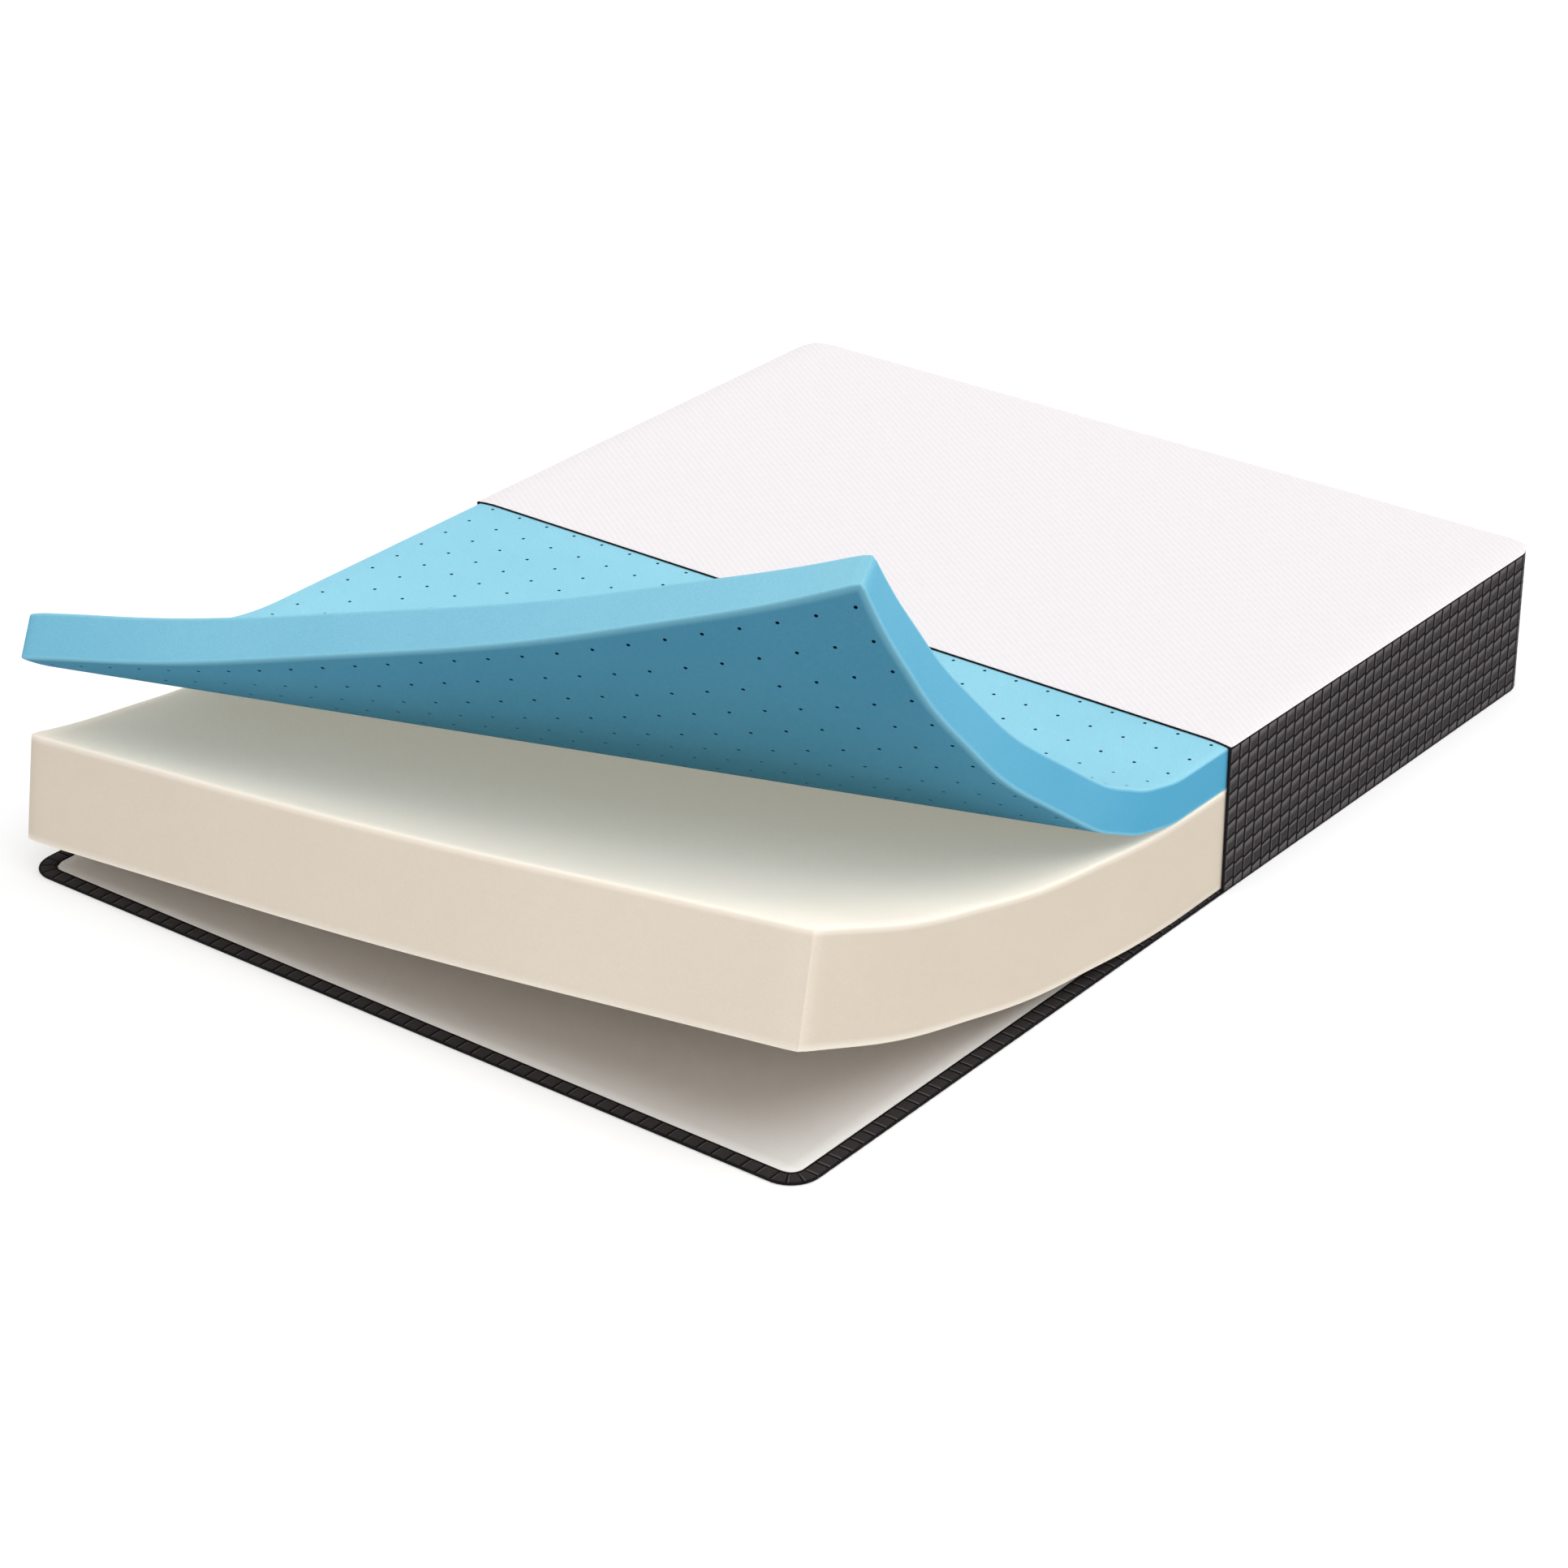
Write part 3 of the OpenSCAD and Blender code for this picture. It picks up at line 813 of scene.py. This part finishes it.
def make_top():
    """The knitted panel, rounding down at the sides and the head."""
    lo, hi = PANEL_LO, PANEL_HI
    r = 1.0 * MM
    xs, ys = steps(lo.x + r, hi.x - r, 9 * MM), steps(lo.y + r, hi.y - r, 9 * MM)
    panel = Slab(xs, ys, r, foot_r=1.6 * MM, head_r=CORNER_R)
    verts, faces, marked = panel.build(
        np.ones(len(panel.faces), bool), lambda p: hi.z - 2.0 * MM - drop(p),
        lambda p: hi.z + 0.2 * MM - drop(p), soft=0)
    obj = piece("knitted_top_panel", verts, faces, KNIT, marked)
    fixed(obj, "top_panel")


make_border()
rim_s, rim_h = make_rim()
make_bottom()
make_top()
tube("bottom_piping_cord", rim_s, True, 1.7 * MM, 2.3 * MM, (1.45 + 0.45 * rim_h) * MM, 2.25 * MM,
     ["bottom_piping"])
tube("rim_inner_tape", rim_s, True, 27.5 * MM, 2.4 * MM, 1.6 * MM, 2.4 * MM, ["rim_inner_binding"])
border_s = np.linspace(BORDER_START - BINDING, BORDER_END + BINDING, 700)
tube("top_seam_piping", border_s, False, 1.5 * MM, BORDER_HI.z + 0.4 * MM, 1.8 * MM, 1.5 * MM,
     ["top_piping"])

edge_xs = np.concatenate([np.linspace(-HALF_W + 0.5 * MM, -HALF_W + SHOULDER, 14),
                          np.linspace(-0.7, 0.7, 16),
                          np.linspace(HALF_W - SHOULDER, HALF_W - 0.5 * MM, 14)])
edge_mid = CUT_Y + BINDING / 2
edge_zs = PANEL_HI.z - 0.9 * MM - drop(np.stack([edge_xs, np.full(len(edge_xs), 0.2)], 1))
rod("panel_cut_binding", [(x, edge_mid, z) for x, z in zip(edge_xs, edge_zs)], (0, 1, 0), 1.55 * MM,
    (0, 0, 1), 1.25 * MM, ["panel_edge_binding"])
for side, node in ((1, "border_edge_binding_right"), (-1, "border_edge_binding_left")):
    lo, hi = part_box(node)
    rod(node.replace("edge", "cut"), [((lo.x + hi.x) / 2, edge_mid, z) for z in np.linspace(lo.z, hi.z, 24)],
        (1, 0, 0), 2.0 * MM, (0, 1, 0), 1.6 * MM, [node])


def dressed(node, name, mat, bevel, body="root"):
    """A copy of a small CAD piece with its flats joined and its edges rounded."""
    bm = bmesh.new()
    bm.from_mesh(frame["nodes"][node].data)
    bmesh.ops.remove_doubles(bm, verts=bm.verts, dist=1e-6)
    bmesh.ops.dissolve_limit(bm, angle_limit=math.radians(3), verts=bm.verts, edges=bm.edges)
    edges = [e for e in bm.edges if len(e.link_faces) == 2 and e.calc_face_angle() > math.radians(32)]
    bmesh.ops.bevel(bm, geom=edges, offset=bevel, segments=3, profile=0.5, affect="EDGES",
                    clamp_overlap=True)
    me = bpy.data.meshes.new(name)
    bm.to_mesh(me)
    bm.free()
    me.shade_smooth()
    me.set_sharp_from_angle(angle=math.radians(40))
    me.materials.append(mat)
    obj = bpy.data.objects.new(name, me)
    bpy.context.scene.collection.objects.link(obj)
    return fixed(obj, node, body=body)


def coil(name, node):
    """A nylon coil: a wire wound round the length of the zipper."""
    lo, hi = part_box(node)
    wire = 0.34 * MM
    turns = int((hi.x - lo.x - 2 * wire) / (2.5 * MM))
    per, ring = 10, 5
    t = np.arange(turns * per + 1) / per
    x = lo.x + wire + t * (hi.x - lo.x - 2 * wire) / turns
    a, c = (hi.y - lo.y) / 2 - wire, (hi.z - lo.z) / 2 - wire
    cos, sin = np.cos(2 * math.pi * t), np.sin(2 * math.pi * t)
    centre = np.stack([x, (lo.y + hi.y) / 2 + a * cos, (lo.z + hi.z) / 2 + c * sin], 1)
    out = np.stack([np.zeros(len(t)), cos, sin], 1)
    verts = []
    for k in range(ring):
        u = 2 * math.pi * k / ring
        verts.append(centre + wire * (math.cos(u) * out + math.sin(u) * np.array([1.0, 0, 0])))
    verts = np.stack(verts, 1).reshape(-1, 3)
    return fixed(piece(name, verts, sweep(t, False, ring), NYLON), node)


for side in ("upper", "lower"):
    obj = dressed(f"zipper_tape_{side}", f"woven_zipper_tape_{side}", TAPE, 0.3 * MM)
    coil(f"nylon_coil_{side}", f"zipper_coil_{side}")
dressed("zipper_end_stops", "zipper_stops", METAL, 0.3 * MM)
dressed("zipper_slider", "zipper_slider_body", METAL, 0.12 * MM, body="zip_slider")
dressed("zipper_pull", "zipper_pull_tab", METAL, 0.15 * MM, body="zip_pull")


def make_label():
    """A blank label that hangs from its top edge and stands off a little at its foot."""
    lo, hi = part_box("care_label")
    nx, nz = 13, 19
    verts, faces = [], []
    for back in (0, 1):
        for j in range(nz):
            for i in range(nx):
                u, v = i / (nx - 1), j / (nz - 1)
                lift = 0.7 * MM + 0.8 * MM * (1 - v) ** 2 + 0.25 * MM * math.sin(9 * u + 4 * v)
                y = HALF_L + 0.5 * MM + lift - back * 0.4 * MM
                verts.append((lo.x + (hi.x - lo.x) * u, y, lo.z + (hi.z - lo.z) * v))
    n = nx * nz
    for j in range(nz - 1):
        for i in range(nx - 1):
            a = j * nx + i
            faces.append((a, a + nx, a + nx + 1, a + 1))
            faces.append((n + a, n + a + 1, n + a + nx + 1, n + a + nx))
    loop = [i for i in range(nx)] + [j * nx + nx - 1 for j in range(1, nz)] + \
        [(nz - 1) * nx + i for i in range(nx - 2, -1, -1)] + [j * nx for j in range(nz - 2, 0, -1)]
    for a, b in zip(loop, loop[1:] + loop[:1]):
        faces.append((a, b, n + b, n + a))
    obj = fixed(piece("blank_care_label", verts, faces, LABEL), "care_label")


def make_sock():
    """The thin sock over, round and under the foam, open where the cover is cut."""
    lo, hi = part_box("inner_sock")
    xs, ys = steps(lo.x + EDGE, hi.x - EDGE, 20 * MM), steps(lo.y, hi.y - EDGE, 20 * MM)
    grid = Slab(xs, ys, EDGE, foot_r=6 * MM, head_r=43 * MM)
    verts, faces, _ = grid.build(
        np.ones(len(grid.faces), bool), lambda p: np.full(len(p), lo.z + 0.1 * MM),
        lambda p: hi.z - 0.05 * MM - drop(p), soft=0)
    faces = [f for f in faces if max(verts[v][1] for v in f) > lo.y + 1e-6]
    verts[:, 1] = np.maximum(verts[:, 1], lo.y)
    obj = piece("fire_barrier_sock", verts, faces, SOCK)
    shell = obj.modifiers.new("thickness", "SOLIDIFY")
    shell.thickness, shell.offset = 0.5 * MM, -1
    fixed(obj, "inner_sock")


make_label()
make_sock()


# ---------------------------------------------------------------- floor, light, camera

SIDES = 60
FLOOR_PROFILE = [(30, 0), (31.2, 0.15), (32.2, 0.8), (32.5, 2.0), (32.5, 7.0)]
ring = [(math.cos(2 * math.pi * i / SIDES), math.sin(2 * math.pi * i / SIDES)) for i in range(SIDES)]
floor_faces = [tuple(range(SIDES))]
for k in range(len(FLOOR_PROFILE) - 1):
    inner, outer = SIDES * k, SIDES * (k + 1)
    for i in range(SIDES):
        j = (i + 1) % SIDES
        floor_faces.append((inner + i, outer + i, outer + j, inner + j))
floor_mesh = bpy.data.meshes.new("floor")
floor_mesh.from_pydata([(r * x, r * y, z) for r, z in FLOOR_PROFILE for x, y in ring], [], floor_faces)
floor_mesh.shade_smooth()
floor = bpy.data.objects.new("floor", floor_mesh)
floor.location.z = -0.5 * MM
bpy.context.scene.collection.objects.link(floor)
ground = Finish("floor_paint", roughness=1.0, specular=0.0)
ground.colour((0.6, 0.6, 0.6, 1.0))
ground.bsdf.inputs["Emission Color"].default_value = (1, 1, 1, 1)
ground.bsdf.inputs["Emission Strength"].default_value = 0.46
floor_mesh.materials.append(ground.mat)

world = bpy.data.worlds.new("studio")
world.use_nodes = True
world.node_tree.nodes["Background"].inputs["Color"].default_value = (1, 1, 1, 1)
world.node_tree.nodes["Background"].inputs["Strength"].default_value = 0.30
bpy.context.scene.world = world


def sun(name, toward, spread, strength):
    """A wide, soft light from far away, coming from that direction."""
    data = bpy.data.lights.new(name, "SUN")
    data.angle, data.energy = math.radians(spread), strength
    lamp = bpy.data.objects.new(name, data)
    lamp.rotation_mode = "QUATERNION"
    lamp.rotation_quaternion = Vector(toward).to_track_quat("Z", "Y")
    bpy.context.scene.collection.objects.link(lamp)


sun("overhead_softbox", (0.32, 0.03, 1.0), 70, 2.4)
sun("front_softbox", (0.62, -1.0, 0.35), 60, 0.15)

CAMERA_AT = (3.84369, -5.03577, 3.25745)
CAMERA_TOWARD = (-0.54293, 0.70273, -0.45977)
CAMERA_ROLL = math.radians(0.031)
camera_data = bpy.data.cameras.new("camera")
camera_data.lens = 100.102
camera_data.sensor_width = 36
camera_data.clip_end = 100
camera = bpy.data.objects.new("camera", camera_data)
camera.location = CAMERA_AT
camera.rotation_mode = "QUATERNION"
camera.rotation_quaternion = Vector(CAMERA_TOWARD).to_track_quat("-Z", "Y") @ \
    Quaternion((0, 0, 1), CAMERA_ROLL)
bpy.context.scene.collection.objects.link(camera)
bpy.context.scene.camera = camera
bpy.context.scene.view_settings.view_transform = "Standard"
